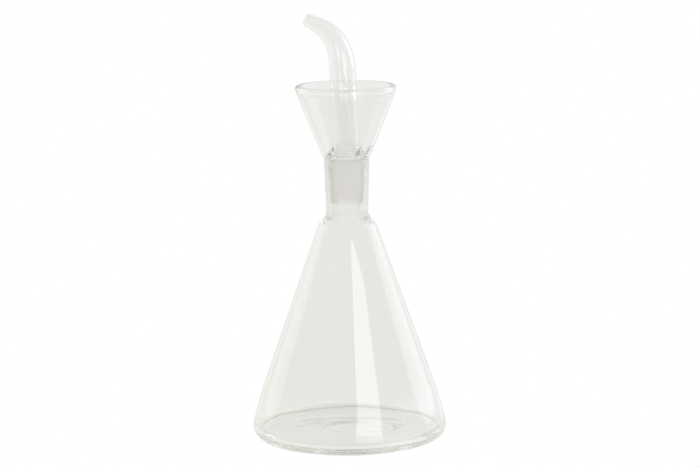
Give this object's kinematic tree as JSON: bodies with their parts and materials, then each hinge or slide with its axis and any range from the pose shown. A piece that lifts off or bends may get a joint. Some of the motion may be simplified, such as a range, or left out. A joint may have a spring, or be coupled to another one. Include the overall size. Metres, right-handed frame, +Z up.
{
  "type": "oil cruet",
  "caption": "Clear glass oil cruet: a conical flask with a ground neck, and a lift-out pourer with a drip cup and a bent spout.",
  "frame": {"origin": "centre of the base, at the level that the flask stands on", "axes": "+Z up along the flask's axis; the spout points towards -X, and the drain hole is at +X"},
  "size_m": [0.085, 0.085, 0.1854],
  "materials": {
    "clear_glass": "clear, colourless, fire polished",
    "ground_glass": "ground, frosted, warm grey white"
  },
  "bodies": {
    "flask": {"flask_body": "clear_glass", "neck_socket": "ground_glass"},
    "pourer": {"ground_cone": "ground_glass", "drip_cup": "clear_glass", "spout_tube": "clear_glass"}
  },
  "joints": [
    {"name": "pourer_lift", "type": "slide", "parent": "flask", "child": "pourer", "axis": [0, 0, 1], "range_m": [0, 0.04]}
  ]
}
